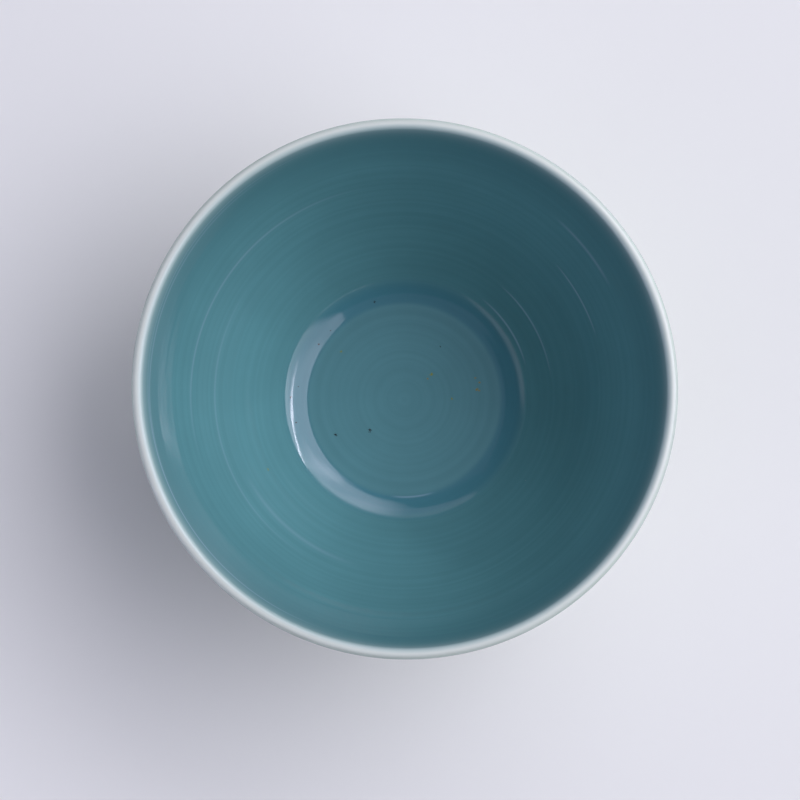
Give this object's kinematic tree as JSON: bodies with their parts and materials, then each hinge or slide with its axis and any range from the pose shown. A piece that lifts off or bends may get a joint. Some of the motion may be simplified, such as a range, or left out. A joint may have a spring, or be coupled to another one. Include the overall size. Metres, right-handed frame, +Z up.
{
  "type": "rice bowl",
  "caption": "Small round footed bowl for rice or soup: glazed porcelain with a teal hollow, a pale lip, a pale outside and a turned foot ring.",
  "frame": {"origin": "centre of the foot ring, in the plane that the bowl stands on", "axes": "+Z up along the bowl's axis, from the foot towards the rim; +X and +Y are any two directions across the bowl, because it is round"},
  "size_m": [0.12, 0.12, 0.059],
  "materials": {
    "bare_porcelain": "unglazed fired porcelain, fine and matt, faint turning lines",
    "teal_glaze": "glossy teal glaze with a few iron specks over faint throwing rings",
    "rim_glaze": "glossy glaze that thins from teal to a pale grey-white over the lip",
    "pale_glaze": "glossy, very pale blue-grey celadon glaze"
  },
  "bodies": {
    "root": {"porcelain_body": "bare_porcelain", "foot_ring": "bare_porcelain", "interior_glaze": "teal_glaze", "rim_glaze_band": "rim_glaze", "exterior_glaze": "pale_glaze", "foot_well_glaze": "pale_glaze"}
  },
  "joints": []
}
